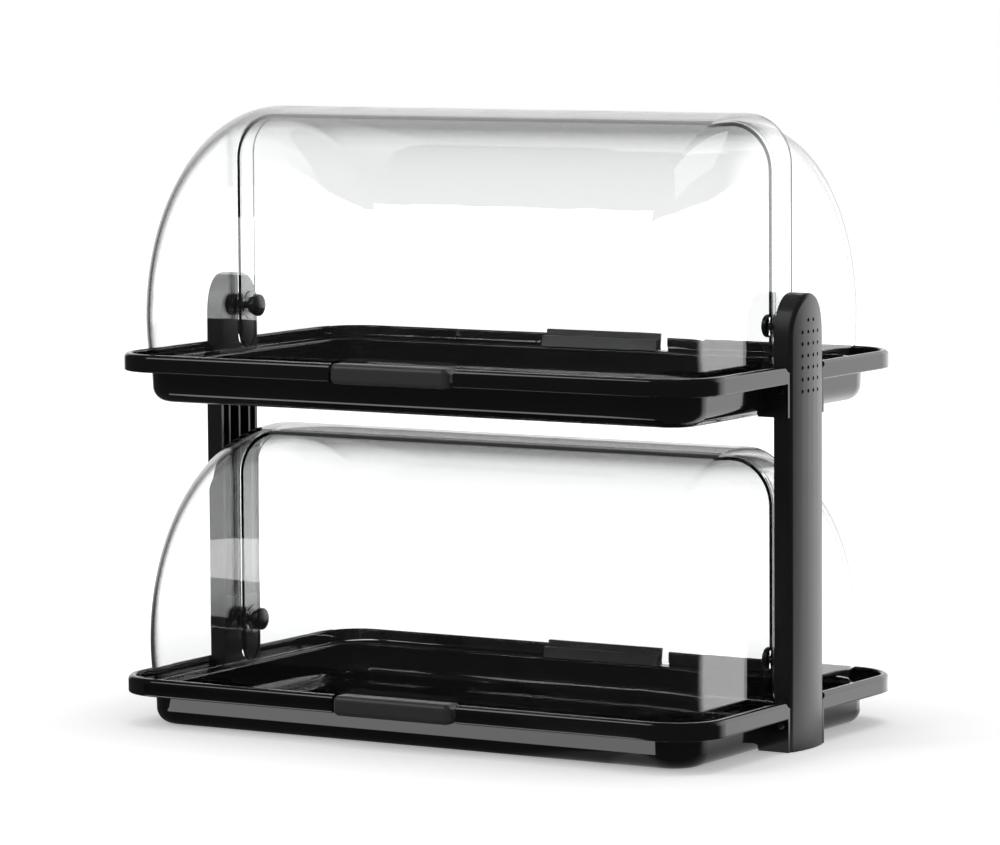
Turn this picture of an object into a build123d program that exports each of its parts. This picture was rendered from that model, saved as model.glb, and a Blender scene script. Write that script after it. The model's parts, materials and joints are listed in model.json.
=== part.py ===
from build123d import *
import os

# Two-tier roll-top display stand, in millimetres.
# +X is right, -Y is the front, +Z is up; the origin is the middle of the lower tray's underside.

os.makedirs("parts", exist_ok=True)

# Trays (two alike)
tray_width = 440.0  # over the rim, left to right
tray_depth = 276.0  # over the rim, front to rear
tray_height = 32.2  # underside to the top of the rim
tray_corner = 34.0  # plan radius of the rim
tier_gap = 22.3  # top of the lower covers to the underside of the upper tray
band_height = 11.5  # outer band of the rim
lip_width = 5.0  # raised lip round the edge
lip_outer_round = 3.0
lip_inner_round = 1.4
band_lower_round = 1.2
ledge_depth = 8.0  # top of the rim down to the ledge under the covers
ledge_thickness = 2.6
ledge_edge_round = 1.6
rim_overhang = 15.5  # outside of the rim to outside of the tray wall
tray_wall = 2.6
tray_floor = 2.6
wall_draft = 2.5  # degrees
wall_corner = 24.0  # plan radius outside the tray wall
base_round = 10.0  # radius from wall to underside

# Finger notches in the rim, front and rear
notch_width = 92.0
notch_inset = 6.6  # how far the notch reaches in from the outside of the rim
apron_thickness = 2.2

# Posts
post_width = 42.0  # front to rear
post_thickness = 12.0  # at the edges, without the crown
post_proud = 0.5  # edges of the post beyond the rim
post_crown = 3.0
post_top_rise = 21.6  # top of the post above the upper pivot
post_top_round = 27.0  # height of the rounded top
post_edge_round = 2.6
post_side_wall = 2.5
rib_count = 3
rib_pitch = 11.5
rib_thickness = 1.8
rib_depth = 8.5
rib_bottom_gap = 16.0  # lower pivot up to the start of the ribs
rib_top_lap = 4.0  # ribs run this far up behind the upper tray

# Slots in the trays for the posts
slot_gap = 0.5  # post to slot, front and rear
slot_back_gap = 0.3
slot_top_round = 4.0
plate_thickness = 2.0  # side plates of the slot
plate_root = 6.0  # how far the plate runs in under the tray wall

# Recessed dots on the outside of each post
dot_radius = 1.2
dot_depth = 1.3
dot_pitch_y = 6.6
dot_pitch_z = 7.4
dot_columns = 4
dot_rows = 6
dot_top_columns = 2
dot_margin = 24.0  # top of the post to the first full row

# Pivots
pivot_height = 55.0  # above the underside of each tray
pin_radius = 2.5
pin_play = 0.06  # radial running clearance in the covers
pin_seat_depth = 9.0  # length of pin held in the post
barrel_radius = 5.6
barrel_length = 2.8
head_radius = 7.3
head_length = 3.2
head_dome = 1.6
head_edge_round = 0.8
spacer_radius = 7.0
spacer_thickness = 2.7
side_play = 0.3  # between the parts stacked on a pin

# Covers
cover_wall = 2.2
foot_gap = 3.08  # foot of the closed front cover to the inside of the lip
front_corner = 31.5  # outside radius between barrel and cheek
radial_gap = 3.0  # front cover to rear cover
cheek_gap = 2.0
rear_corner = 29.0
cover_band = 10.5  # each cover runs this far past the pivot plane
edge_lift = 2.5  # edge of a closed cover above the ledge
boss_radius = 9.3
boss_height = 1.0
bead_height = 0.9  # stiffening bead on the free edge of the rear cover
bead_width = 3.0

# Grips
grip_length = 87
grip_ledge_gap = 0.3
bar_proud = 4.0  # front of the bar beyond the rim
bar_gap = 1.2  # back of the bar in front of the lip's inner face
bar_above_rim = 0.5
bar_below_rim = 1.0
bar_round = 3.4
grip_end_round = 4.0
slot_fit = 0.05  # grip to cover wall
leg_clearance = 0.4  # grip legs to the other cover
front_leg_height = 7.9
rear_leg_thickness = 3.6
rear_leg_height = 7.0
rear_outer_leg_height = 11.0

# Screws that hold the trays to the posts
screw_radius = 1.3
screw_length = 9.0
screw_head_radius = 2.4
screw_head_height = 1.5
screw_drop = 3.6  # below the rim's band
screw_inset = 5.0  # in from the outside of the rim

# Derived
half_width = tray_width / 2
half_depth = tray_depth / 2
ledge_z = tray_height - ledge_depth
band_z = tray_height - band_height
edge_rise = ledge_z + edge_lift
reach = pivot_height - edge_rise  # pivot axis down to the edge of a closed cover
post_edge_x = half_width + post_proud
post_inner_x = post_edge_x - post_thickness
post_half = post_width / 2
slot_half = post_half + slot_gap
slot_inner_x = post_inner_x - slot_back_gap
foot_y = half_depth - lip_width - foot_gap
front_radius = (foot_y**2 + reach**2) ** 0.5  # outside of the front cover, from the pivot axis
front_half_width = post_inner_x - spacer_thickness - side_play - boss_height
tier_pitch = pivot_height + front_radius + tier_gap
front_inner_radius = front_radius - cover_wall
rear_radius = front_inner_radius - radial_gap
rear_half_width = front_half_width - cover_wall - cheek_gap
spacer_x = post_inner_x - spacer_thickness
barrel_x = rear_half_width - cover_wall - boss_height - side_play
screw_x = half_width - screw_inset
screw_rise = band_z - screw_drop
post_height = tier_pitch + pivot_height + post_top_rise
tiers = {"lower": 0.0, "upper": tier_pitch}
sides = {"left": -1, "right": 1}
lie_flat = (Align.CENTER, Align.CENTER, Align.MIN)


def finish(piece, label):
    """Names a finished piece and writes it."""
    piece.part.label = label
    export_step(piece.part, f"parts/{label}.step")


def side_plane(z, x=0.0):
    """A plane facing +X whose own axes are +Y and +Z, at height z."""
    return Plane(origin=(x, 0, z), x_dir=(0, 1, 0), z_dir=(1, 0, 0))


def front_plane(z, y=0.0):
    """A plane facing -Y whose own axes are +X and +Z, at height z."""
    return Plane(origin=(0, y, z), x_dir=(1, 0, 0), z_dir=(0, -1, 0))


def flared_opening(plane, half_gap, depth, shoulder):
    """Face of an opening that runs down from the plane's Y = 0 and flares at its mouth."""
    flare = half_gap + shoulder
    with BuildSketch(plane) as opening:
        with BuildLine():
            Polyline(
                (-half_gap, -shoulder), (-half_gap, -depth), (half_gap, -depth), (half_gap, -shoulder)
            )
            RadiusArc((half_gap, -shoulder), (flare, 0), -shoulder)
            Polyline((flare, 0), (flare, 1), (-flare, 1), (-flare, 0))
            RadiusArc((-flare, 0), (-half_gap, -shoulder), -shoulder)
        make_face()
    return opening.sketch


def build_tray(base):
    """A moulded tray: basin, ledge, lip with finger notches, and a slot for each post."""
    wall_width = tray_width - 2 * rim_overhang
    wall_depth = tray_depth - 2 * rim_overhang
    with BuildPart() as hollow:
        with BuildSketch(Plane.XY.offset(base + ledge_z)):
            RectangleRounded(
                wall_width - 2 * tray_wall, wall_depth - 2 * tray_wall, wall_corner - tray_wall
            )
        extrude(amount=tray_floor - ledge_z, taper=wall_draft)
        fillet(hollow.edges().group_by(Axis.Z)[0], base_round - tray_wall)

    with BuildPart() as tray:
        # Basin, drawn at the ledge and tapering down to the underside
        with BuildSketch(Plane.XY.offset(base + ledge_z)):
            RectangleRounded(wall_width, wall_depth, wall_corner)
        extrude(amount=-ledge_z, taper=wall_draft)
        fillet(tray.edges().group_by(Axis.Z)[0], base_round)

        # Ledge and lip
        with BuildSketch(Plane.XY.offset(base + ledge_z - ledge_thickness)):
            RectangleRounded(tray_width - lip_width, tray_depth - lip_width, tray_corner - lip_width / 2)
        extrude(amount=ledge_thickness)
        with BuildSketch(Plane.XY.offset(base + band_z)):
            RectangleRounded(tray_width, tray_depth, tray_corner)
            RectangleRounded(
                tray_width - 2 * lip_width,
                tray_depth - 2 * lip_width,
                tray_corner - lip_width,
                mode=Mode.SUBTRACT,
            )
        extrude(amount=band_height)
        lip_top = tray.faces().sort_by(Axis.Z)[-1]
        lip_loops = lip_top.wires().sort_by(SortBy.LENGTH)
        fillet(lip_loops[-1].edges(), lip_outer_round)
        fillet(tray.faces().sort_by(Axis.Z)[-1].wires().sort_by(SortBy.LENGTH)[0].edges(), lip_inner_round)
        band_foot = tray.edges().filter_by_position(
            Axis.Z, base + band_z - 0.01, base + band_z + 0.01
        )
        foot_loops = [edge for edge in band_foot if reaches_outside(edge)]
        fillet(foot_loops, band_lower_round)

        # Plates each side of the post slots
        for side in (-1, 1):
            for end in (-1, 1):
                plate_length = rim_overhang + plate_root
                middle = (
                    side * (half_width - plate_length / 2),
                    end * (slot_half + plate_thickness / 2),
                    base,
                )
                with Locations(middle):
                    Box(plate_length, plate_thickness, ledge_z - ledge_thickness / 2, align=lie_flat)

        add(hollow.part, mode=Mode.SUBTRACT)

        # Soft edge where the ledge turns down into the basin
        mouth = [
            edge
            for edge in tray.edges().filter_by_position(
                Axis.Z, base + ledge_z - 0.01, base + ledge_z + 0.01
            )
            if abs(edge.center().X) < wall_width / 2 and abs(edge.center().Y) < wall_depth / 2
        ]
        fillet(mouth, ledge_edge_round)

        # Post slots, open at the top and at the ends of the tray
        for side in (-1, 1):
            slot_plane = side_plane(base + tray_height, side * slot_inner_x)
            slot = flared_opening(slot_plane, slot_half, tray_height + 1, slot_top_round)
            extrude(slot, amount=side * (half_width - slot_inner_x + 1), mode=Mode.SUBTRACT)

        # Finger notches, with an apron that closes the rim behind each
        for end in (-1, 1):
            back = end * (half_depth - notch_inset)
            with BuildSketch(Plane.XY.offset(base + band_z - 1)):
                with Locations((0, back + end * (notch_inset + 1) / 2)):
                    Rectangle(notch_width, notch_inset + 1)
            extrude(amount=band_height + 2, mode=Mode.SUBTRACT)
            with Locations((0, back - end * apron_thickness / 2, base + band_z)):
                Box(notch_width + 2, apron_thickness, ledge_z - band_z, align=lie_flat)

        # Holes for the screws through the plates
        with BuildSketch(Plane.XZ.offset(-slot_half - plate_thickness - 1)):
            with Locations((-screw_x, base + screw_rise), (screw_x, base + screw_rise)):
                Circle(screw_radius)
        extrude(amount=2 * (slot_half + plate_thickness + 1), mode=Mode.SUBTRACT)
    return tray


def reaches_outside(edge):
    """True for an edge on the outer face of the rim."""
    box = edge.bounding_box()
    outer_x = max(abs(box.min.X), abs(box.max.X)) > half_width - lip_width / 2
    outer_y = max(abs(box.min.Y), abs(box.max.Y)) > half_depth - lip_width / 2
    in_corner = edge.geom_type == GeomType.CIRCLE and edge.radius > tray_corner - lip_width / 2
    return outer_x or outer_y or in_corner


# Each tray is kept as two nodes that meet level with the foot of its rim
for tier, base in tiers.items():
    tray = build_tray(base)
    parting = Plane.XY.offset(base + band_z)
    with BuildPart() as basin:
        add(tray.part)
        split(bisect_by=parting, keep=Keep.BOTTOM)
    finish(basin, f"{tier}_tray_basin")
    with BuildPart() as rim:
        add(tray.part)
        split(bisect_by=parting, keep=Keep.TOP)
    finish(rim, f"{tier}_tray_rim")


def build_post(side):
    """An upright: crowned outer face, rounded top, a panel of recessed dots, and open ribs inside."""
    outer = side * post_edge_x
    inner = side * post_inner_x
    crest = side * (post_edge_x + post_crown)
    with BuildPart() as post:
        with BuildSketch(Plane.XY):
            with BuildLine():
                Polyline((outer, -post_half), (inner, -post_half), (inner, post_half), (outer, post_half))
                ThreePointArc((outer, post_half), (crest, 0), (outer, -post_half))
            make_face()
        extrude(amount=post_height)
        with BuildSketch(side_plane(0)):
            with Locations((0, (post_height - post_top_round) / 2)):
                Rectangle(post_width, post_height - post_top_round)
            with Locations((0, post_height - post_top_round)):
                Ellipse(post_half, post_top_round)
        extrude(amount=tray_width, both=True, mode=Mode.INTERSECT)
        crown = post.faces().sort_by(lambda face: side * face.center().X)[-1]
        rim_edges = [edge for edge in crown.edges() if edge.center().Z > 1]
        fillet(rim_edges, post_edge_round)

        # Ribs between the tiers, open towards the trays
        rib_floor = pivot_height + rib_bottom_gap
        rib_ceiling = tier_pitch + rib_top_lap
        rib_middle = (rib_floor + rib_ceiling) / 2
        with BuildSketch(side_plane(rib_middle, inner)):
            Rectangle(post_width - 2 * post_side_wall, rib_ceiling - rib_floor)
            with GridLocations(rib_pitch, 1, rib_count, 1):
                Rectangle(rib_thickness, rib_ceiling - rib_floor, mode=Mode.SUBTRACT)
        extrude(amount=side * rib_depth, mode=Mode.SUBTRACT)

        # Seats for the pivot pins
        with BuildSketch(side_plane(0, inner)):
            with Locations(*[(0, base + pivot_height) for base in tiers.values()]):
                Circle(pin_radius)
        extrude(amount=side * pin_seat_depth, mode=Mode.SUBTRACT)

        # Recessed dots outside, near the top
        dots_top = post_height - dot_margin
        with BuildSketch(side_plane(0, crest)):
            with Locations((0, dots_top - (dot_rows - 1) * dot_pitch_z / 2)):
                with GridLocations(dot_pitch_y, dot_pitch_z, dot_columns, dot_rows):
                    Circle(dot_radius)
            with Locations((0, dots_top + dot_pitch_z)):
                with GridLocations(dot_pitch_y, 1, dot_top_columns, 1):
                    Circle(dot_radius)
        extrude(amount=-side * dot_depth, mode=Mode.SUBTRACT)

        # Holes for the tray screws
        for base in tiers.values():
            for end in (-1, 1):
                with BuildSketch(front_plane(0, end * post_half)):
                    with Locations((side * screw_x, base + screw_rise)):
                        Circle(screw_radius)
                extrude(amount=end * screw_length, mode=Mode.SUBTRACT)
    return post


posts = {}
for name, side in sides.items():
    posts[name] = build_post(side)
    finish(posts[name], f"{name}_post")


def roll_shell(radius, corner, half_length, pivot_z, wall):
    """A closed hollow drum about the pivot axis: barrel, round corners and flat cheeks."""
    with BuildPart() as shell:
        with BuildSketch(front_plane(pivot_z)):
            RectangleRounded(2 * half_length, 2 * radius, corner)
            RectangleRounded(
                2 * (half_length - wall), 2 * (radius - wall), corner - wall, mode=Mode.SUBTRACT
            )
            with Locations((0, -radius)):
                Rectangle(2 * half_length + 2, 2 * radius, mode=Mode.SUBTRACT)
        revolve(axis=Axis((0, 0, pivot_z), (1, 0, 0)), revolution_arc=360)
    return shell


def build_bead(end, pivot_z):
    """A stiffening bead that stands out along the free edge of a rear cover."""
    rim = roll_shell(
        rear_radius + bead_height,
        rear_corner + bead_height,
        rear_half_width + bead_height,
        pivot_z,
        cover_wall,
    )
    with BuildPart() as bead:
        add(rim.part)
        with BuildSketch(front_plane(pivot_z, -end * (cover_band - bead_width))):
            with Locations((0, rear_radius / 2)):
                Rectangle(tray_width, rear_radius + 2 * cover_band)
        extrude(amount=end * bead_width, mode=Mode.INTERSECT)
    return bead


def build_cover(end, pivot_z):
    """One clear half of a roll-top: end is -1 for the outer front cover, 1 for the inner rear one."""
    if end < 0:
        radius, corner, cheek_x = front_radius, front_corner, front_half_width
    else:
        radius, corner, cheek_x = rear_radius, rear_corner, rear_half_width
    shell = roll_shell(radius, corner, cheek_x, pivot_z, cover_wall)
    far = radius + cover_band
    with BuildPart() as cover:
        add(shell.part)
        if end > 0:
            add(build_bead(end, pivot_z).part)

        # Outline from the side: level edge above the ledge, upright edge past the pivot
        with BuildSketch(side_plane(pivot_z)) as outline:
            with Locations((end * (far - cover_band) / 2, (far - reach) / 2)):
                Rectangle(far + cover_band, far + reach)
            corners = outline.vertices().group_by(Axis.Y)[0]
            fillet(corners.sort_by(lambda corner_point: end * corner_point.X)[0], cover_band)
        extrude(amount=half_width, both=True, mode=Mode.INTERSECT)

        # Round bosses: outside the front cover's cheeks, inside the rear cover's
        for side in (-1, 1):
            boss_x = cheek_x if end < 0 else cheek_x - cover_wall
            with BuildSketch(side_plane(pivot_z, side * boss_x)):
                Circle(boss_radius)
            extrude(amount=-end * side * boss_height)
        with BuildSketch(side_plane(pivot_z)):
            Circle(pin_radius + pin_play)
        extrude(amount=half_width, both=True, mode=Mode.SUBTRACT)
    return cover


def build_grip(end, pivot_z):
    """A clip-on grip at the edge of a cover: a bar in the front notch, a slim clip at the rear."""
    radius = front_radius if end < 0 else rear_radius
    foot = grip_ledge_gap - edge_lift - reach
    inner_wall = radius - cover_wall
    if end < 0:
        inner_leg = rear_radius + bead_height + leg_clearance
        outer_leg = radius + leg_clearance
        inner_top = foot + front_leg_height
        outer_top = ledge_depth + foot - grip_ledge_gap
    else:
        inner_leg = inner_wall - rear_leg_thickness
        outer_leg = front_inner_radius - 2 * leg_clearance
        inner_top = foot + rear_leg_height
        outer_top = foot + rear_outer_leg_height
    with BuildPart() as grip:
        # Legs that follow the curve of the cover, inside and outside it
        for low_radius, high_radius, top in (
            (inner_leg, radius, inner_top),
            (inner_wall, outer_leg, outer_top),
        ):
            with BuildSketch(side_plane(pivot_z)):
                Circle(high_radius)
                Circle(low_radius, mode=Mode.SUBTRACT)
                with Locations((end * radius, (foot + top) / 2)):
                    Rectangle(radius, top - foot, mode=Mode.INTERSECT)
            extrude(amount=grip_length / 2, both=True)

        # Bar that fills the notch at the front
        if end < 0:
            bar_front = half_depth + bar_proud
            bar_back = half_depth - notch_inset + bar_gap
            bar_top = tray_height + bar_above_rim - pivot_height
            bar_foot = band_z - bar_below_rim - pivot_height
            bar_middle = (-(bar_front + bar_back) / 2, (bar_top + bar_foot) / 2)
            with BuildSketch(side_plane(pivot_z)) as bar:
                with Locations(bar_middle):
                    Rectangle(bar_front - bar_back, bar_top - bar_foot)
                fillet(bar.vertices().group_by(Axis.X)[0], bar_round)
            extrude(amount=grip_length / 2, both=True)
            web_middle = (-(bar_back + inner_wall) / 2, (foot + outer_top) / 2)
            with BuildSketch(side_plane(pivot_z)):
                with Locations(web_middle):
                    Rectangle(bar_back - inner_wall + 8, outer_top - foot)
                Circle(inner_wall, mode=Mode.SUBTRACT)
            extrude(amount=grip_length / 2, both=True)
            front_face = grip.faces().sort_by(Axis.Y)[0]
            ends = front_face.edges().filter_by(Axis.Z)
            fillet(ends, grip_end_round)

        # Slot for the wall of the cover
        with BuildSketch(side_plane(pivot_z)):
            Circle(radius + slot_fit)
            Circle(inner_wall - slot_fit, mode=Mode.SUBTRACT)
            with Locations((0, radius - reach - slot_fit)):
                Rectangle(3 * radius, 2 * radius, mode=Mode.INTERSECT)
        extrude(amount=grip_length, both=True, mode=Mode.SUBTRACT)
    return grip


ends = {"front": -1, "rear": 1}
for tier, base in tiers.items():
    for place, end in ends.items():
        finish(build_cover(end, base + pivot_height), f"{tier}_{place}_cover")
        finish(build_grip(end, base + pivot_height), f"{tier}_{place}_grip")


def build_pin(side, pivot_z):
    """A push-in pivot pin: shank seated in the post, barrel and domed head inside the covers."""
    seat_end = post_inner_x + pin_seat_depth
    head_x = barrel_x - barrel_length
    face_x = head_x - head_length
    with BuildPart() as pin:
        with BuildSketch(front_plane(pivot_z)) as profile:
            with BuildLine():
                Polyline(
                    (side * (face_x - head_dome), 0),
                    (side * seat_end, 0),
                    (side * seat_end, pin_radius),
                    (side * barrel_x, pin_radius),
                    (side * barrel_x, barrel_radius),
                    (side * head_x, barrel_radius),
                    (side * head_x, head_radius),
                    (side * face_x, head_radius),
                )
                TangentArc(
                    (side * (face_x - head_dome), 0), (side * face_x, head_radius), tangent=(0, 1)
                )
            make_face()
            rim = [v for v in profile.vertices() if v.Y > head_radius - 0.01]
            fillet(rim, head_edge_round)
        revolve(axis=Axis((0, 0, pivot_z), (1, 0, 0)), revolution_arc=360)
    return pin


def build_spacer(side, pivot_z):
    """The dark washer between a post and the front cover."""
    with BuildPart() as spacer:
        with BuildSketch(side_plane(pivot_z, side * spacer_x)):
            Circle(spacer_radius)
            Circle(pin_radius, mode=Mode.SUBTRACT)
        extrude(amount=side * (post_inner_x - spacer_x))
    return spacer


def build_screws(base):
    """The four screws that hold one tray to the posts, heads outward on the slot plates."""
    with BuildPart() as screws:
        for side in (-1, 1):
            for end in (-1, 1):
                seat = end * (slot_half + plate_thickness)
                tip = end * (post_half - screw_length)
                with BuildSketch(front_plane(base + screw_rise, seat)):
                    with Locations((side * screw_x, 0)):
                        Circle(screw_head_radius)
                extrude(amount=-end * screw_head_height)
                with BuildSketch(front_plane(base + screw_rise, seat)):
                    with Locations((side * screw_x, 0)):
                        Circle(screw_radius)
                extrude(amount=seat - tip)
    return screws


for tier, base in tiers.items():
    for name, side in sides.items():
        finish(build_pin(side, base + pivot_height), f"{tier}_{name}_pivot_pin")
        finish(build_spacer(side, base + pivot_height), f"{tier}_{name}_spacer")
    finish(build_screws(base), f"{tier}_tray_screws")
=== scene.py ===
"""Two-tier roll-top bread display bin: finishes, clear covers, fastenings and stage."""

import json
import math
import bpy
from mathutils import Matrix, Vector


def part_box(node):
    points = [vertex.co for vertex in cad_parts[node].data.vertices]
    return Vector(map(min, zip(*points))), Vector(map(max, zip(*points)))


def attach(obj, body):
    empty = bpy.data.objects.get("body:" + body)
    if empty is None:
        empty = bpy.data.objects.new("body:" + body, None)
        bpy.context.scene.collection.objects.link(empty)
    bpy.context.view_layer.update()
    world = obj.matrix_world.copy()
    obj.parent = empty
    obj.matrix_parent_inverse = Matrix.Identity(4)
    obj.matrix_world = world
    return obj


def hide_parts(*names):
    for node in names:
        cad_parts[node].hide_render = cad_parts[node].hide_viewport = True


bl_info = {
    "name": "Roll-Top Bread Display Bin",
    "version": (1, 0, 0),
    "blender": (4, 5, 0),
    "location": "3D View > Sidebar > Bread Bin",
    "description": "Dresses a two-tier roll-top display bin and sets it on a pale studio stage",
    "category": "Object",
}

import bmesh
import bpy
from bpy.props import FloatProperty, FloatVectorProperty, IntProperty, PointerProperty
from mathutils import Matrix, Vector

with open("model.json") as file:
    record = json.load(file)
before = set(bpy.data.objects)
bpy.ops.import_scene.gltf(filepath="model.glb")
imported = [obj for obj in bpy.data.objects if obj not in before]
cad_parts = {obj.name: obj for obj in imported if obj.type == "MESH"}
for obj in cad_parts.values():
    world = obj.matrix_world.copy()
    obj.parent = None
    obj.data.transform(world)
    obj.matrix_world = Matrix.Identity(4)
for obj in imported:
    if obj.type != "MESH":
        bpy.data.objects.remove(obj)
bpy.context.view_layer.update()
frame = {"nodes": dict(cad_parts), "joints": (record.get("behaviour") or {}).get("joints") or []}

TIERS = ("lower", "upper")
SIDES = ("left", "right")
PLACES = ("front", "rear")
TRAY_LOW, TRAY_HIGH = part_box("lower_tray_basin")
PIVOTS = {joint["child"]: Vector(joint["pos_m"]) for joint in frame["joints"]}

WHITE = (1.0, 1.0, 1.0, 1.0)
UP = Vector((0.0, 0.0, 1.0))
CREASE = math.radians(35)  # faces that meet at more than this keep a crisp edge
MERGE = 1e-7  # points closer than this are one, in metres
ON_RADIUS = 1e-6  # a point this close to a radius lies on it, in metres
BEAD_GAP = 0.00005  # keeps the bead's closed shell off the cover under it, in metres
GLOSS_GAIN = 2.0  # how much more than its plain level gloss sees of the backdrop
GLOSS_REST = 0.06  # what gloss sees of the dim rest of the room
CARD_HEIGHT = 0.0006  # how far the gloss cards lie above the ground
CARD_STRENGTH = 3.0


# ---------------------------------------------------------------- settings


class TraySettings(bpy.types.PropertyGroup):
    """The moulded trays."""

    colour: FloatVectorProperty(
        name="Colour", description="Body colour of the trays", subtype="COLOR", size=3,
        min=0.0, max=1.0, default=(0.0055, 0.0055, 0.0058),
    )


class PostSettings(bpy.types.PropertyGroup):
    """The two uprights."""

    colour: FloatVectorProperty(
        name="Colour", description="Body colour of the posts", subtype="COLOR", size=3,
        min=0.0, max=1.0, default=(0.011, 0.011, 0.0115),
    )
    grain_size: FloatProperty(
        name="Grain per Metre", description="Frequency of the moulded grain", default=1500.0
    )


class CoverSettings(bpy.types.PropertyGroup):
    """The clear roll-top covers."""

    wall: FloatProperty(
        name="Wall", description="Thickness of the clear wall", subtype="DISTANCE",
        unit="LENGTH", default=0.0022,
    )
    front_corner: FloatProperty(
        name="Front Corner", description="Radius between barrel and cheek of a front cover",
        subtype="DISTANCE", unit="LENGTH", default=0.0315,
    )
    rear_corner: FloatProperty(
        name="Rear Corner", description="Radius between barrel and cheek of a rear cover",
        subtype="DISTANCE", unit="LENGTH", default=0.029,
    )
    boss_radius: FloatProperty(
        name="Boss Radius", description="Round boss at each pivot", subtype="DISTANCE",
        unit="LENGTH", default=0.0093,
    )
    boss_height: FloatProperty(
        name="Boss Height", description="How far a boss stands off the cheek",
        subtype="DISTANCE", unit="LENGTH", default=0.001,
    )
    bore_radius: FloatProperty(
        name="Bore Radius", description="Hole for the pivot pin", subtype="DISTANCE",
        unit="LENGTH", default=0.00256,
    )
    band: FloatProperty(
        name="Overlap", description="How far a cover runs past its pivot plane",
        subtype="DISTANCE", unit="LENGTH", default=0.0105,
    )
    bead_height: FloatProperty(
        name="Bead Height", description="Bead along the free edge of a rear cover",
        subtype="DISTANCE", unit="LENGTH", default=0.0009,
    )
    bead_width: FloatProperty(
        name="Bead Width", description="Width of the bead", subtype="DISTANCE",
        unit="LENGTH", default=0.003,
    )
    steps: IntProperty(
        name="Steps", description="Steps round the drum of a cover", default=144, min=24
    )
    tint: FloatVectorProperty(
        name="Tint", description="Colour the clear wall gives to light", subtype="COLOR",
        size=3, min=0.0, max=1.0, default=(0.985, 0.99, 0.99),
    )


class GripSettings(bpy.types.PropertyGroup):
    """The clip-on grips."""

    colour: FloatVectorProperty(
        name="Colour", description="Body colour of the grips", subtype="COLOR", size=3,
        min=0.0, max=1.0, default=(0.034, 0.034, 0.0345),
    )


class PivotSettings(bpy.types.PropertyGroup):
    """Pins, spacers and screws."""

    colour: FloatVectorProperty(
        name="Colour", description="Colour of the pins and spacers", subtype="COLOR",
        size=3, min=0.0, max=1.0, default=(0.004, 0.004, 0.0043),
    )
    screw_colour: FloatVectorProperty(
        name="Screw Colour", description="Colour of the blackened screws", subtype="COLOR",
        size=3, min=0.0, max=1.0, default=(0.09, 0.09, 0.095),
    )
    screw_head: FloatProperty(
        name="Screw Head", description="How far a screw head stands off its plate",
        subtype="DISTANCE", unit="LENGTH", default=0.0011,
    )
    recess_depth: FloatProperty(
        name="Recess Depth", description="Depth of the cross in a screw head",
        subtype="DISTANCE", unit="LENGTH", default=0.0007,
    )


class StageSettings(bpy.types.PropertyGroup):
    """Floor, lamps and camera."""

    floor_colour: FloatVectorProperty(
        name="Floor", description="Colour of the floor", subtype="COLOR", size=3,
        min=0.0, max=1.0, default=(0.93, 0.93, 0.93),
    )
    floor_lift: FloatProperty(
        name="Floor Lift", description="White added to the floor close to the bin", default=0.32
    )
    room_light: FloatProperty(
        name="Room Light", description="Plain light from all round", default=0.55
    )
    backdrop_turn: FloatProperty(
        name="Backdrop Turn", description="Direction of the pale backdrop, to the right of +Y",
        subtype="ANGLE", default=math.radians(-6),
    )
    backdrop_half_angle: FloatProperty(
        name="Backdrop Half Angle", description="Half the width of the pale backdrop",
        subtype="ANGLE", default=math.radians(40),
    )
    screen_turn: FloatProperty(
        name="Screen Turn", description="Direction of the lit screen, to the right of +Y",
        subtype="ANGLE", default=math.radians(22),
    )
    screen_half_angle: FloatProperty(
        name="Screen Half Angle", description="Half the width of the lit screen",
        subtype="ANGLE", default=math.radians(13),
    )
    fade: FloatProperty(
        name="Fade", description="Angle over which the backdrop and the screen fade out",
        subtype="ANGLE", default=math.radians(24),
    )
    camera_place: FloatVectorProperty(
        name="Camera Place", description="Where the camera stands", subtype="XYZ",
        unit="LENGTH", size=3, default=(1.762524, -2.877786, 0.524664),
    )
    camera_yaw: FloatProperty(
        name="Camera Yaw", description="Turn of the camera to the left", subtype="ANGLE",
        default=math.radians(31.55),
    )
    camera_pitch: FloatProperty(
        name="Camera Pitch", description="How far the camera looks down", subtype="ANGLE",
        default=math.radians(5.569),
    )
    camera_roll: FloatProperty(
        name="Camera Roll", description="Roll of the camera", subtype="ANGLE",
        default=math.radians(-0.376),
    )
    camera_lens: FloatProperty(
        name="Lens", description="Focal length on a 36 mm sensor", default=188.68
    )


def settings(name):
    return getattr(bpy.context.scene, "bread_bin_" + name)


# ---------------------------------------------------------------- node helpers


def empty_tree(owner, output="ShaderNodeOutputMaterial"):
    """Clears the nodes of a material or world; returns its tree and the Surface socket."""
    owner.use_nodes = True
    tree = owner.node_tree
    tree.nodes.clear()
    return tree, tree.nodes.new(output).inputs["Surface"]


def new_material(name):
    """A node material with its shader and object coordinates."""
    material = bpy.data.materials.new(name)
    tree, surface = empty_tree(material)
    shader = tree.nodes.new("ShaderNodeBsdfPrincipled")
    place = tree.nodes.new("ShaderNodeTexCoord")
    tree.links.new(shader.outputs["BSDF"], surface)
    return material, tree, shader, place


def effect_group(name, inputs, outputs):
    """A shared effect: node group with a Vector input, named values and named results."""
    group = bpy.data.node_groups.new(name, "ShaderNodeTree")
    group.interface.new_socket("Vector", in_out="INPUT", socket_type="NodeSocketVector")
    for label, value in inputs:
        socket = group.interface.new_socket(
            label, in_out="INPUT", socket_type="NodeSocketFloat"
        )
        socket.default_value = value
    for label, kind in outputs:
        group.interface.new_socket(label, in_out="OUTPUT", socket_type=kind)
    start = group.nodes.new("NodeGroupInput")
    end = group.nodes.new("NodeGroupOutput")
    return group, start, end


def feed(tree, value, socket):
    """Gives an input its value, which is a socket or a number."""
    if isinstance(value, (int, float)):
        socket.default_value = value
    else:
        tree.links.new(value, socket)


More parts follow.
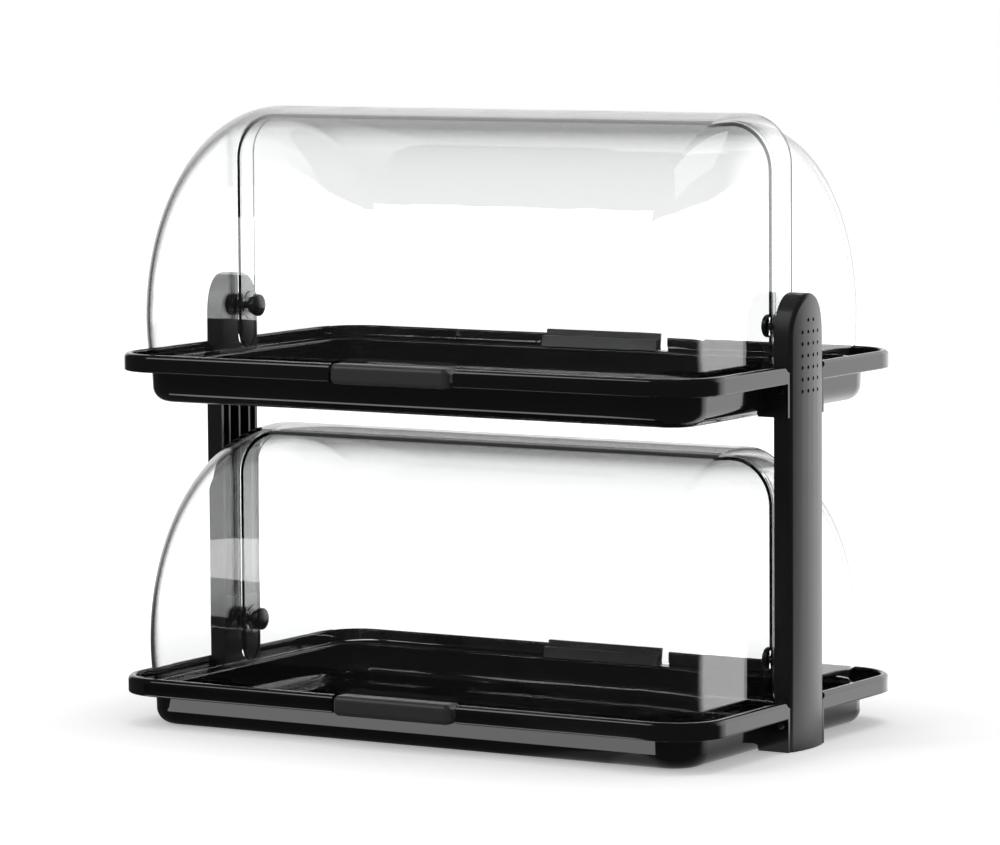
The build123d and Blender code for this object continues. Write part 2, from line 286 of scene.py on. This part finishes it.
def maths(tree, operation, first, second=None, third=None, clamp=False):
    """A Math node; its inputs are sockets or numbers. Returns its output."""
    node = tree.nodes.new("ShaderNodeMath")
    node.operation = operation
    node.use_clamp = clamp
    for index, value in enumerate((first, second, third)):
        if value is not None:
            feed(tree, value, node.inputs[index])
    return node.outputs[0]


def vector_maths(tree, operation, first, second=None):
    """A Vector Math node on a socket and a fixed vector. Returns its output."""
    node = tree.nodes.new("ShaderNodeVectorMath")
    node.operation = operation
    tree.links.new(first, node.inputs[0])
    if second is not None:
        node.inputs[1].default_value = second
    return node.outputs["Value" if operation in ("DOT_PRODUCT", "LENGTH") else "Vector"]


def noise(tree, vector, scale, detail=2.0, roughness=0.5):
    """A Noise Texture; returns its value."""
    node = tree.nodes.new("ShaderNodeTexNoise")
    node.inputs["Detail"].default_value = detail
    node.inputs["Roughness"].default_value = roughness
    tree.links.new(vector, node.inputs["Vector"])
    feed(tree, scale, node.inputs["Scale"])
    return node.outputs[0]


def ramp(tree, value, start, end, low, high):
    """A smooth step of value from start to end, giving low to high."""
    node = tree.nodes.new("ShaderNodeMapRange")
    node.interpolation_type = "SMOOTHSTEP"
    limits = {"From Min": start, "From Max": end, "To Min": low, "To Max": high}
    for label, limit in limits.items():
        node.inputs[label].default_value = limit
    tree.links.new(value, node.inputs["Value"])
    return node.outputs["Result"]


def polish_group():
    """Polish that varies a little over a surface: broad clouds and fine hairlines."""
    if "polish_variation" in bpy.data.node_groups:
        return bpy.data.node_groups["polish_variation"]
    group, start, end = effect_group(
        "polish_variation",
        (("Roughness", 0.1), ("Spread", 0.03), ("Cloud Scale", 14.0), ("Hairlines", 0.02)),
        (("Roughness", "NodeSocketFloat"), ("Height", "NodeSocketFloat")),
    )
    clouds = noise(group, start.outputs["Vector"], start.outputs["Cloud Scale"], 3.0)
    stretch = group.nodes.new("ShaderNodeMapping")
    stretch.inputs["Scale"].default_value = (60.0, 900.0, 500.0)
    group.links.new(start.outputs["Vector"], stretch.inputs["Vector"])
    lines = noise(group, stretch.outputs[0], 1.0, 1.0)
    lines = maths(group, "GREATER_THAN", lines, 0.7)
    centred = maths(group, "SUBTRACT", clouds, 0.5)
    spread = maths(group, "MULTIPLY", centred, start.outputs["Spread"])
    hair = maths(group, "MULTIPLY", lines, start.outputs["Hairlines"])
    total = maths(group, "ADD", start.outputs["Roughness"], spread)
    total = maths(group, "ADD", total, hair)
    group.links.new(maths(group, "MAXIMUM", total, 0.0), end.inputs["Roughness"])
    group.links.new(clouds, end.inputs["Height"])
    return group


def grain_group():
    """Fine moulded grain: a height for bump and a mask for colour."""
    if "moulded_grain" in bpy.data.node_groups:
        return bpy.data.node_groups["moulded_grain"]
    group, start, end = effect_group(
        "moulded_grain",
        (("Grain Scale", 1500.0), ("Pebble", 0.5)),
        (("Height", "NodeSocketFloat"), ("Mask", "NodeSocketFloat")),
    )
    cells = group.nodes.new("ShaderNodeTexVoronoi")
    cells.feature = "SMOOTH_F1"
    group.links.new(start.outputs["Vector"], cells.inputs["Vector"])
    group.links.new(start.outputs["Grain Scale"], cells.inputs["Scale"])
    specks = noise(group, start.outputs["Vector"], start.outputs["Grain Scale"], 3.0, 0.6)
    pebble = maths(group, "MULTIPLY", cells.outputs["Distance"], start.outputs["Pebble"])
    group.links.new(maths(group, "ADD", specks, pebble), end.inputs["Height"])
    group.links.new(specks, end.inputs["Mask"])
    return group


def place_group(tree, group, vector, values):
    """Puts a shared effect in a material with its own values."""
    node = tree.nodes.new("ShaderNodeGroup")
    node.node_tree = group
    tree.links.new(vector, node.inputs["Vector"])
    for label, value in values.items():
        node.inputs[label].default_value = value
    return node


def bump(tree, shader, height, strength, distance):
    """Feeds a height to the shader's Normal through a Bump node."""
    node = tree.nodes.new("ShaderNodeBump")
    node.inputs["Strength"].default_value = strength
    node.inputs["Distance"].default_value = distance
    tree.links.new(height, node.inputs["Height"])
    tree.links.new(node.outputs["Normal"], shader.inputs["Normal"])


def tint_by(tree, shader, mask, low, high, start=0.3, end=0.7):
    """Base colour that runs from low to high with a mask."""
    ramp = tree.nodes.new("ShaderNodeValToRGB")
    ramp.color_ramp.elements[0].position = start
    ramp.color_ramp.elements[1].position = end
    ramp.color_ramp.elements[0].color = (*low, 1.0)
    ramp.color_ramp.elements[1].color = (*high, 1.0)
    tree.links.new(mask, ramp.inputs["Fac"])
    tree.links.new(ramp.outputs["Color"], shader.inputs["Base Color"])


def scaled(colour, factor):
    return tuple(min(1.0, channel * factor) for channel in colour)


# ---------------------------------------------------------------- materials


def tray_gloss_black():
    """High-gloss moulded black: mirror polish with faint clouding and hairlines."""
    colour = tuple(settings("trays").colour)
    material, tree, shader, place = new_material("tray_gloss_black")
    shader.inputs["IOR"].default_value = 1.5
    polish = place_group(
        tree, polish_group(), place.outputs["Object"],
        {"Roughness": 0.075, "Spread": 0.03, "Cloud Scale": 16.0, "Hairlines": 0.015},
    )
    tree.links.new(polish.outputs["Roughness"], shader.inputs["Roughness"])
    tint_by(tree, shader, polish.outputs["Height"], scaled(colour, 0.85), scaled(colour, 1.2))
    bump(tree, shader, polish.outputs["Height"], 0.04, 0.0004)
    return material


def satin_black(name, colour, roughness, grain_scale, grain_strength):
    """Matt or satin moulded black with a fine grain."""
    material, tree, shader, place = new_material(name)
    shader.inputs["IOR"].default_value = 1.5
    polish = place_group(
        tree, polish_group(), place.outputs["Object"],
        {"Roughness": roughness, "Spread": 0.08, "Cloud Scale": 22.0, "Hairlines": 0.0},
    )
    tree.links.new(polish.outputs["Roughness"], shader.inputs["Roughness"])
    grain = place_group(
        tree, grain_group(), place.outputs["Object"],
        {"Grain Scale": grain_scale, "Pebble": 0.6},
    )
    tint_by(tree, shader, grain.outputs["Mask"], scaled(colour, 0.8), scaled(colour, 1.25))
    bump(tree, shader, grain.outputs["Height"], grain_strength, 0.0002)
    return material


def cover_clear():
    """Clear polished plastic with a slight waviness in its walls, and painted shade where a wall
    is seen edge on.
    """
    material, tree, shader, place = new_material("cover_clear")
    shader.inputs["IOR"].default_value = 1.47
    shader.inputs["Transmission Weight"].default_value = 1.0
    tint = tuple(settings("covers").tint)
    polish = place_group(
        tree, polish_group(), place.outputs["Object"],
        {"Roughness": 0.0, "Spread": 0.012, "Cloud Scale": 9.0, "Hairlines": 0.0},
    )
    tree.links.new(polish.outputs["Roughness"], shader.inputs["Roughness"])
    # Painted shade: the clear wall's colour darkens where it is seen edge on; a little of this is
    # the longer path through the plastic, most of it stands in for the dim room seen in and
    # through the wall edge on
    painted_edge_shade, edge_start, edge_end = scaled(tint, 0.22), 0.56, 0.76
    facing = tree.nodes.new("ShaderNodeLayerWeight")
    facing.inputs["Blend"].default_value = 0.5
    clouds = maths(tree, "MULTIPLY", polish.outputs["Height"], 0.02)
    clouds_and_edge_shade = maths(tree, "ADD", clouds, facing.outputs["Facing"])
    tint_by(tree, shader, clouds_and_edge_shade, tint, painted_edge_shade, edge_start, edge_end)
    # Its shadow is faint: most of the light goes through
    passed = 0.92
    light_path = tree.nodes.new("ShaderNodeLightPath")
    clear = maths(tree, "MULTIPLY_ADD", light_path.outputs["Is Shadow Ray"], -passed, 1.0)
    tree.links.new(clear, shader.inputs["Alpha"])
    ripple = noise(tree, place.outputs["Object"], 26.0, 1.0)
    bump(tree, shader, ripple, 0.12, 0.0007)
    return material


def screw_blackened():
    """Blackened steel with fine turning marks."""
    colour = tuple(settings("pivots").screw_colour)
    material, tree, shader, place = new_material("screw_blackened")
    shader.inputs["Metallic"].default_value = 1.0
    polish = place_group(
        tree, polish_group(), place.outputs["Object"],
        {"Roughness": 0.36, "Spread": 0.12, "Cloud Scale": 400.0, "Hairlines": 0.05},
    )
    tree.links.new(polish.outputs["Roughness"], shader.inputs["Roughness"])
    tint_by(tree, shader, polish.outputs["Height"], scaled(colour, 0.8), scaled(colour, 1.3))
    bump(tree, shader, polish.outputs["Height"], 0.2, 0.0001)
    return material


# ---------------------------------------------------------------- mesh helpers


def new_mesh(name, bm):
    """A mesh from a bmesh, which is freed."""
    mesh = bpy.data.meshes.new(name)
    bm.to_mesh(mesh)
    bm.free()
    return mesh


def new_object(name, data):
    """An object of a mesh, lamp or camera, put in the scene."""
    made = bpy.data.objects.new(name, data)
    bpy.context.scene.collection.objects.link(made)
    return made


def new_piece(name, bm, material, body, nodes):
    """Makes a shaded piece from a bmesh, dresses it and lets it stand for CAD nodes."""
    bmesh.ops.recalc_face_normals(bm, faces=bm.faces)
    shade_by_angle(bm, CREASE)
    piece = new_object(name, new_mesh(name, bm))
    piece.data.materials.append(material)
    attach(piece, body)
    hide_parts(*nodes)
    return piece


def shade_by_angle(bm, angle):
    """Smooth shading with crisp edges where faces meet sharply."""
    for face in bm.faces:
        face.smooth = True
    for edge in bm.edges:
        edge.smooth = len(edge.link_faces) == 2 and edge.calc_face_angle(math.pi) < angle


def weight_normals(piece):
    """Lets large flat faces keep their normals beside small rounded ones."""
    modifier = piece.modifiers.new("weighted_normals", "WEIGHTED_NORMAL")
    modifier.keep_sharp = True
    modifier.weight = 100


def finish_nodes(material, nodes):
    """Gives a finish to CAD nodes that are shown as they are."""
    for node in nodes:
        slots = frame["nodes"][node].data.materials
        slots.clear()
        slots.append(material)


def cut_and_close(bm, point, normal):
    """Cuts off what lies beyond a plane and closes the cut."""
    cut = bmesh.ops.bisect_plane(
        bm, geom=bm.verts[:] + bm.edges[:] + bm.faces[:], dist=MERGE, plane_co=point,
        plane_no=normal, clear_outer=True,
    )["geom_cut"]
    rim = [item for item in cut if isinstance(item, bmesh.types.BMEdge)]
    if rim:
        bmesh.ops.triangle_fill(bm, edges=rim, use_beauty=True, use_dissolve=False)


def drum(pivot, radius, corner, cheek, wall, bore, boss, steps):
    """A closed hollow drum about the pivot axis, made by spinning its section.

    boss is (radius, outward height, inward height) of the round pads at the pivots.
    """
    boss_radius, out, inward = boss
    half = [(cheek + out, bore), (cheek + out, boss_radius)]
    if out:
        half.append((cheek, boss_radius))
    outer = half + [(cheek, radius), (-cheek, radius)] + [(-x, r) for x, r in reversed(half)]
    half = [(cheek - wall - inward, bore), (cheek - wall - inward, boss_radius)]
    if inward:
        half.append((cheek - wall, boss_radius))
    inner = half + [(cheek - wall, radius - wall), (wall - cheek, radius - wall)]
    inner += [(-x, r) for x, r in reversed(half)]
    bm = bmesh.new()
    loop = [bm.verts.new((x, 0.0, pivot.z + r)) for x, r in outer + inner[::-1]]
    for first, second in zip(loop, loop[1:] + loop[:1]):
        bm.edges.new((first, second))
    for reach, round_off in ((radius, corner), (radius - wall, corner - wall)):
        corners = [vert for vert in bm.verts if abs(vert.co.z - pivot.z - reach) < ON_RADIUS]
        bmesh.ops.bevel(
            bm, geom=corners, offset=round_off, offset_type="OFFSET", segments=14,
            profile=0.5, affect="VERTICES", material=-1,
        )
    bmesh.ops.spin(
        bm, geom=bm.verts[:] + bm.edges[:], cent=pivot, axis=(1.0, 0.0, 0.0),
        angle=math.tau, steps=steps, use_merge=True,
    )
    bmesh.ops.remove_doubles(bm, verts=bm.verts, dist=MERGE)
    return bm


def trim_cover(bm, pivot, end, band, foot):
    """Cuts a drum to a cover's outline: level foot, upright edge and a round between."""
    cuts = 8
    centre = Vector((0.0, 0.0, pivot.z - foot + band))
    for step in range(cuts + 1):
        turn = math.radians(90) * step / cuts
        normal = Vector((0.0, -end * math.cos(turn), -math.sin(turn)))
        cut_and_close(bm, centre + normal * band, normal)


# ---------------------------------------------------------------- pieces


def build_cover(tier, place):
    """One clear cover, spun about its pivots and trimmed."""
    sizes = settings("covers")
    node = f"{tier}_{place}_cover"
    body = f"{tier}_{place}_door"
    pivot = PIVOTS[body]
    low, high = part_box(node)
    end = -1.0 if place == "front" else 1.0
    foot = pivot.z - low.z
    if place == "front":
        radius = high.z - pivot.z
        cheek = high.x - sizes.boss_height
        corner = sizes.front_corner
        boss = (sizes.boss_radius, sizes.boss_height, 0.0)
    else:
        radius = high.z - pivot.z - sizes.bead_height
        cheek = high.x - sizes.bead_height
        corner = sizes.rear_corner
        boss = (sizes.boss_radius, 0.0, sizes.boss_height)
    bm = drum(pivot, radius, corner, cheek, sizes.wall, sizes.bore_radius, boss, sizes.steps)
    trim_cover(bm, pivot, end, sizes.band, foot)
    if place == "rear":
        rise = sizes.bead_height
        no_boss = (sizes.bore_radius * 1.5, 0.0, 0.0)
        bead = drum(
            pivot, radius + rise, corner + rise, cheek + rise, rise - BEAD_GAP,
            sizes.bore_radius, no_boss, sizes.steps,
        )
        trim_cover(bead, pivot, end, sizes.band, foot)
        inner_y = -end * (sizes.band - sizes.bead_width)
        cut_and_close(bead, Vector((0.0, inner_y, 0.0)), Vector((0.0, end, 0.0)))
        joined = new_mesh("bead", bead)
        bm.from_mesh(joined)
        bpy.data.meshes.remove(joined)
    piece = new_piece(
        f"{node}_clear", bm, bpy.data.materials["cover_clear"], body, (node,)
    )
    weight_normals(piece)


def build_screws(tier):
    """Pan heads with a cross recess, one for each screw that shows in a tray's plates."""
    sizes = settings("pivots")
    node = f"{tier}_tray_screws"
    low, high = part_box(node)
    radius = (high.z - low.z) / 2
    height = sizes.screw_head
    bm = bmesh.new()
    for x in (low.x + radius, high.x - radius):
        for y, outward in ((low.y, -1.0), (high.y, 1.0)):
            foot = Vector((x, y - outward * height, (low.z + high.z) / 2))
            screw_head(bm, foot, outward, radius, height, sizes.recess_depth)
    new_piece(
        f"{node}_steel", bm, bpy.data.materials["screw_blackened"], "stand", (node,)
    )


def screw_head(bm, foot, outward, radius, height, recess):
    """One domed head standing on foot and facing outward along Y, with its shank behind it."""
    dome, shank = height * 0.6, radius * 0.45
    arm, reach = radius * 0.17, radius * 0.58
    before = set(bm.faces)
    place = Matrix.Translation(foot) @ Matrix.Rotation(math.radians(-90) * outward, 4, "X")
    bmesh.ops.create_cone(
        bm, cap_ends=True, segments=36, radius1=radius, radius2=radius, depth=height,
        matrix=place @ Matrix.Translation((0.0, 0.0, height / 2)),
    )
    made = [face for face in bm.faces if face not in before]
    way = Vector((0.0, outward, 0.0))
    top = next(face for face in made if face.normal.dot(way) > 0.9)
    bottom = next(face for face in made if face.normal.dot(way) < -0.9)
    bmesh.ops.bevel(
        bm, geom=list(top.edges), offset=dome, offset_type="OFFSET", segments=4,
        profile=0.5, affect="EDGES", material=-1,
    )
    top = max(
        (face for face in bm.faces if face not in before and face.normal.dot(way) > 0.99),
        key=lambda face: face.calc_area(),
    )
    cross_recess(bm, top, foot + way * height, way, arm, reach, recess)
    bmesh.ops.inset_region(bm, faces=[bottom], thickness=shank, use_even_offset=True)
    bmesh.ops.translate(bm, verts=list(bottom.verts), vec=-way * height)


def cross_recess(bm, top, centre, way, arm, reach, depth):
    """Sinks a tapering cross into the flat top of a head."""
    taper = 0.7
    side = way.cross(UP).normalized()
    outline = (
        (arm, arm), (reach, arm), (reach, -arm), (arm, -arm), (arm, -reach), (-arm, -reach),
        (-arm, -arm), (-reach, -arm), (-reach, arm), (-arm, arm), (-arm, reach), (arm, reach),
    )
    rim = [bm.verts.new(centre + side * a + UP * b) for a, b in outline]
    edges = [bm.edges.new((a, b)) for a, b in zip(rim, rim[1:] + rim[:1])]
    ring = list(top.edges)
    bmesh.ops.delete(bm, geom=[top], context="FACES_ONLY")
    bmesh.ops.triangle_fill(bm, edges=ring + edges, use_beauty=True, normal=way)
    sunk = bmesh.ops.extrude_edge_only(bm, edges=edges)["geom"]
    floor = [item for item in sunk if isinstance(item, bmesh.types.BMVert)]
    for vert in floor:
        vert.co = centre + (vert.co - centre) * taper - way * depth
    rim_edges = [
        item for item in sunk
        if isinstance(item, bmesh.types.BMEdge) and all(vert in floor for vert in item.verts)
    ]
    bmesh.ops.contextual_create(bm, geom=rim_edges)


# ---------------------------------------------------------------- stage


def reflected(tree, light_path):
    """True of a ray that gloss has mirrored on its way, also inside a clear wall."""
    # Is Glossy Ray tells only of the last bounce, which for such a ray is a transmission
    mirrored = maths(tree, "MINIMUM", light_path.outputs["Glossy Depth"], 1.0)
    return maths(tree, "SUBTRACT", mirrored, light_path.outputs["Is Diffuse Ray"], clamp=True)


def straight(tree, light_path):
    """True of a ray that has only passed through clear walls."""
    through = light_path.outputs["Is Transmission Ray"]
    return maths(tree, "SUBTRACT", through, reflected(tree, light_path), clamp=True)


def white_light(tree, strength, kind="ShaderNodeEmission"):
    """A white Emission or Background; strength is a socket or a number."""
    node = tree.nodes.new(kind)
    node.inputs["Color"].default_value = WHITE
    feed(tree, strength, node.inputs["Strength"])
    return node.outputs[0]


def backdrop_group():
    """Brightness of the room in a direction, from a Vector: a pale backdrop and a lit screen."""
    if "backdrop_side" in bpy.data.node_groups:
        return bpy.data.node_groups["backdrop_side"]
    sizes = settings("stage")
    group, start, end = effect_group("backdrop_side", (), (("Side", "NodeSocketFloat"),))
    level_way = vector_maths(group, "MULTIPLY", start.outputs["Vector"], (1.0, 1.0, 0.0))
    unit = vector_maths(group, "NORMALIZE", level_way)
    total = None
    for turn, half, level in (
        (sizes.backdrop_turn, sizes.backdrop_half_angle, 0.5),
        (sizes.screen_turn, sizes.screen_half_angle, 0.55),
    ):
        way = (math.sin(turn), math.cos(turn), 0.0)
        facing = vector_maths(group, "DOT_PRODUCT", unit, way)
        inner, outer = math.cos(half), math.cos(half + sizes.fade)
        part = ramp(group, facing, outer, inner, 0.0, level)
        total = part if total is None else maths(group, "ADD", total, part)
    group.links.new(total, end.inputs["Side"])
    return group


def in_gloss(tree, side, share):
    """What gloss sees of the room: a share of the backdrop over the dim rest."""
    shown = maths(tree, "MULTIPLY", side, share)
    return maths(tree, "MULTIPLY_ADD", shown, GLOSS_GAIN, GLOSS_REST)


def build_floor():
    """A pale floor: white to the eye and through the covers, keeping the bin's shadow, with
    painted shade close to the bin.
    """
    half_size, sink = 6.0, 0.0002
    bm = bmesh.new()
    bmesh.ops.create_grid(bm, x_segments=1, y_segments=1, size=half_size)
    floor = new_object("floor", new_mesh("floor", bm))
    floor.location.z = -sink
    material = bpy.data.materials.new("floor_pale")
    tree, surface = empty_tree(material)
    light_path = tree.nodes.new("ShaderNodeLightPath")
    place = tree.nodes.new("ShaderNodeTexCoord")
    matt = tree.nodes.new("ShaderNodeBsdfDiffuse")
    matt.inputs["Color"].default_value = (*settings("stage").floor_colour, 1.0)
    # How far a point of the floor lies outside the tray that stands on it
    reach = vector_maths(tree, "ABSOLUTE", place.outputs["Object"])
    reach = vector_maths(tree, "SUBTRACT", reach, (TRAY_HIGH.x, TRAY_HIGH.y, 0.0))
    reach = vector_maths(tree, "MAXIMUM", reach, (0.0, 0.0, 0.0))
    reach = vector_maths(tree, "LENGTH", reach)
    # Close to the bin less white is added, a painted shade that widens the bin's real shadow;
    # further off the floor turns plain white
    white_from, far_lift = 0.55, 0.75
    amount = ramp(tree, reach, 0.0, white_from, settings("stage").floor_lift, far_lift)
    looked_at = maths(tree, "ADD", light_path.outputs["Is Camera Ray"], straight(tree, light_path))
    seen = tree.nodes.new("ShaderNodeAddShader")
    tree.links.new(matt.outputs[0], seen.inputs[0])
    tree.links.new(white_light(tree, maths(tree, "MULTIPLY", looked_at, amount)), seen.inputs[1])
    # In gloss the floor is bright only towards the backdrop; close to the bin it is dimmed, a
    # painted shade in what gloss sees
    turned_about, bright_from, dim_share = (0.15, -0.15, 0.0), 0.075, 0.22
    outward = vector_maths(tree, "SUBTRACT", place.outputs["Object"], turned_about)
    side = place_group(tree, backdrop_group(), outward, {})
    near = ramp(tree, reach, 0.0, bright_from, dim_share, 1.0)
    mix = tree.nodes.new("ShaderNodeMixShader")
    tree.links.new(reflected(tree, light_path), mix.inputs["Fac"])
    tree.links.new(seen.outputs[0], mix.inputs[1])
    glow = white_light(tree, in_gloss(tree, side.outputs["Side"], near))
    tree.links.new(glow, mix.inputs[2])
    tree.links.new(mix.outputs[0], surface)
    floor.data.materials.append(material)


def build_world():
    """White to the eye, and for gloss a bright backdrop behind and to the right in a dim room."""
    world = bpy.data.worlds.new("studio")
    bpy.context.scene.world = world
    tree, surface = empty_tree(world, "ShaderNodeOutputWorld")
    light_path = tree.nodes.new("ShaderNodeLightPath")
    place = tree.nodes.new("ShaderNodeTexCoord")
    split = tree.nodes.new("ShaderNodeSeparateXYZ")
    tree.links.new(place.outputs["Generated"], split.inputs[0])
    side = place_group(tree, backdrop_group(), place.outputs["Generated"], {})
    height = split.outputs["Z"]
    # High up the room is dark in gloss, and grey seen through the covers
    below_roof = ramp(tree, height, 0.35, 0.8, 1.0, 0.0)
    mirror = in_gloss(tree, side.outputs["Side"], below_roof)
    through = ramp(tree, height, 0.25, 0.75, 1.05, 0.35)
    parts = (
        (light_path.outputs["Is Camera Ray"], 1.0),
        (reflected(tree, light_path), mirror),
        (straight(tree, light_path), through),
        (light_path.outputs["Is Diffuse Ray"], settings("stage").room_light),
    )
    level = None
    for kind, strength in parts:
        share = maths(tree, "MULTIPLY", kind, strength)
        level = share if level is None else maths(tree, "ADD", level, share)
    tree.links.new(white_light(tree, level, "ShaderNodeBackground"), surface)


def build_lamps():
    """Plain soft lamps: one high in front to the left, one overhead."""
    for name, place, aim, size, energy in (
        ("front_softbox", (-0.85, -1.05, 1.15), (0.0, -0.1, 0.22), (0.5, 0.95), 5.0),
        ("overhead_softbox", (0.15, 0.2, 1.8), (0.0, 0.0, 0.0), (1.2, 1.2), 9.0),
    ):
        lamp = bpy.data.lights.new(name, "AREA")
        lamp.shape = "RECTANGLE"
        lamp.size, lamp.size_y = size
        lamp.energy = energy
        holder = new_object(name, lamp)
        holder.location = place
        towards = Vector(aim) - Vector(place)
        holder.rotation_euler = towards.to_track_quat("-Z", "Y").to_euler()
        holder.visible_glossy = name == "front_softbox"


def build_card(tier, near, far, left, right, slant):
    """A bright card on the ground before the bin, seen only in the gloss of one tray.

    near and far are distances from the tray's front; the sides run at a slant.
    """
    name = f"{tier}_card"
    bm = bmesh.new()
    bmesh.ops.create_grid(bm, x_segments=1, y_segments=1, size=0.5)
    for vert in bm.verts:
        run = near if vert.co.y > 0 else far
        edge = left if vert.co.x < 0 else right
        vert.co = Vector((edge - slant * run, TRAY_LOW.y - run, CARD_HEIGHT))
    card = new_object(name, new_mesh(name, bm))
    for kind in ("camera", "diffuse", "transmission", "shadow", "volume_scatter"):
        setattr(card, f"visible_{kind}", False)
    lit = bpy.data.collections.new(f"{name}_lit")
    for piece in ("basin", "rim"):
        lit.objects.link(bpy.data.objects[f"{tier}_tray_{piece}"])
    card.light_linking.receiver_collection = lit
    material = bpy.data.materials.new(name)
    tree, surface = empty_tree(material)
    tree.links.new(white_light(tree, CARD_STRENGTH), surface)
    card.data.materials.append(material)


def build_camera():
    """The camera, placed by its turn, tilt and roll."""
    sizes = settings("stage")
    yaw, pitch, roll = sizes.camera_yaw, sizes.camera_pitch, sizes.camera_roll
    towards = Vector(
        (-math.sin(yaw) * math.cos(pitch), math.cos(yaw) * math.cos(pitch), -math.sin(pitch))
    )
    level = Vector((math.cos(yaw), math.sin(yaw), 0.0))
    upright = level.cross(towards)
    right = level * math.cos(roll) + upright * math.sin(roll)
    up = upright * math.cos(roll) - level * math.sin(roll)
    camera = bpy.data.cameras.new("camera")
    camera.sensor_width = 36.0
    camera.lens = sizes.camera_lens
    holder = new_object("camera", camera)
    turned = Matrix((right, up, -towards)).transposed().to_4x4()
    holder.matrix_world = Matrix.Translation(sizes.camera_place) @ turned
    bpy.context.scene.camera = holder
    bpy.context.scene.view_settings.view_transform = "Standard"


# ---------------------------------------------------------------- operators


class BREADBIN_OT_trays(bpy.types.Operator):
    """Dress the two moulded trays in high-gloss black"""

    bl_idname = "breadbin.trays"
    bl_label = "Trays"

    def execute(self, context):
        nodes = [f"{tier}_tray_{part}" for tier in TIERS for part in ("basin", "rim")]
        finish_nodes(tray_gloss_black(), nodes)
        return {"FINISHED"}


class BREADBIN_OT_posts(bpy.types.Operator):
    """Dress the two uprights in satin black"""

    bl_idname = "breadbin.posts"
    bl_label = "Posts"

    def execute(self, context):
        sizes = settings("posts")
        colour = tuple(sizes.colour)
        material = satin_black("post_satin_black", colour, 0.34, sizes.grain_size, 0.2)
        finish_nodes(material, [f"{side}_post" for side in SIDES])
        return {"FINISHED"}


class BREADBIN_OT_covers(bpy.types.Operator):
    """Spin and trim the four clear roll-top covers"""

    bl_idname = "breadbin.covers"
    bl_label = "Clear Covers"

    def execute(self, context):
        cover_clear()
        for tier in TIERS:
            for place in PLACES:
                build_cover(tier, place)
        return {"FINISHED"}


class BREADBIN_OT_grips(bpy.types.Operator):
    """Dress the clip-on grips in matt black"""

    bl_idname = "breadbin.grips"
    bl_label = "Grips"

    def execute(self, context):
        colour = tuple(settings("grips").colour)
        material = satin_black("grip_matt_black", colour, 0.38, 1900.0, 0.3)
        finish_nodes(material, [f"{tier}_{place}_grip" for tier in TIERS for place in PLACES])
        return {"FINISHED"}


class BREADBIN_OT_pivots(bpy.types.Operator):
    """Dress the pivot pins and the spacers behind the covers"""

    bl_idname = "breadbin.pivots"
    bl_label = "Pivots"

    def execute(self, context):
        colour = tuple(settings("pivots").colour)
        pin = satin_black("pin_black", colour, 0.3, 2200.0, 0.12)
        spacer = satin_black("spacer_black", colour, 0.5, 1800.0, 0.3)
        for tier in TIERS:
            for side in SIDES:
                finish_nodes(pin, (f"{tier}_{side}_pivot_pin",))
                finish_nodes(spacer, (f"{tier}_{side}_spacer",))
        return {"FINISHED"}


class BREADBIN_OT_screws(bpy.types.Operator):
    """Model the screws that hold the trays to the posts"""

    bl_idname = "breadbin.screws"
    bl_label = "Screws"

    def execute(self, context):
        screw_blackened()
        for tier in TIERS:
            build_screws(tier)
        return {"FINISHED"}


class BREADBIN_OT_stage(bpy.types.Operator):
    """Set the floor, the studio light and the camera"""

    bl_idname = "breadbin.stage"
    bl_label = "Stage"

    def execute(self, context):
        build_floor()
        build_card("lower", near=0.024, far=0.118, left=-0.205, right=0.186, slant=0.62)
        build_card("upper", near=0.11, far=0.18, left=-0.205, right=0.19, slant=1.16)
        build_world()
        build_lamps()
        build_camera()
        return {"FINISHED"}


# ---------------------------------------------------------------- panel and start


class BREADBIN_PT_panel(bpy.types.Panel):
    """Lists the steps that dress the bin."""

    bl_idname = "BREADBIN_PT_panel"
    bl_label = "Bread Bin"
    bl_space_type = "VIEW_3D"
    bl_region_type = "UI"
    bl_category = "Bread Bin"

    def draw(self, context):
        for step in OPERATORS:
            self.layout.operator(step.bl_idname)


SETTINGS = {
    "trays": TraySettings,
    "posts": PostSettings,
    "covers": CoverSettings,
    "grips": GripSettings,
    "pivots": PivotSettings,
    "stage": StageSettings,
}
OPERATORS = (
    BREADBIN_OT_trays,
    BREADBIN_OT_posts,
    BREADBIN_OT_covers,
    BREADBIN_OT_grips,
    BREADBIN_OT_pivots,
    BREADBIN_OT_screws,
    BREADBIN_OT_stage,
)


def register():
    for cls in (*SETTINGS.values(), *OPERATORS, BREADBIN_PT_panel):
        bpy.utils.register_class(cls)
    for name, cls in SETTINGS.items():
        setattr(bpy.types.Scene, "bread_bin_" + name, PointerProperty(type=cls))


def unregister():
    for name in SETTINGS:
        delattr(bpy.types.Scene, "bread_bin_" + name)
    for cls in reversed((*SETTINGS.values(), *OPERATORS, BREADBIN_PT_panel)):
        bpy.utils.unregister_class(cls)


def main():
    register()
    bpy.ops.breadbin.trays()
    bpy.ops.breadbin.posts()
    bpy.ops.breadbin.covers()
    bpy.ops.breadbin.grips()
    bpy.ops.breadbin.pivots()
    bpy.ops.breadbin.screws()
    bpy.ops.breadbin.stage()


if __name__ == "__main__":
    main()
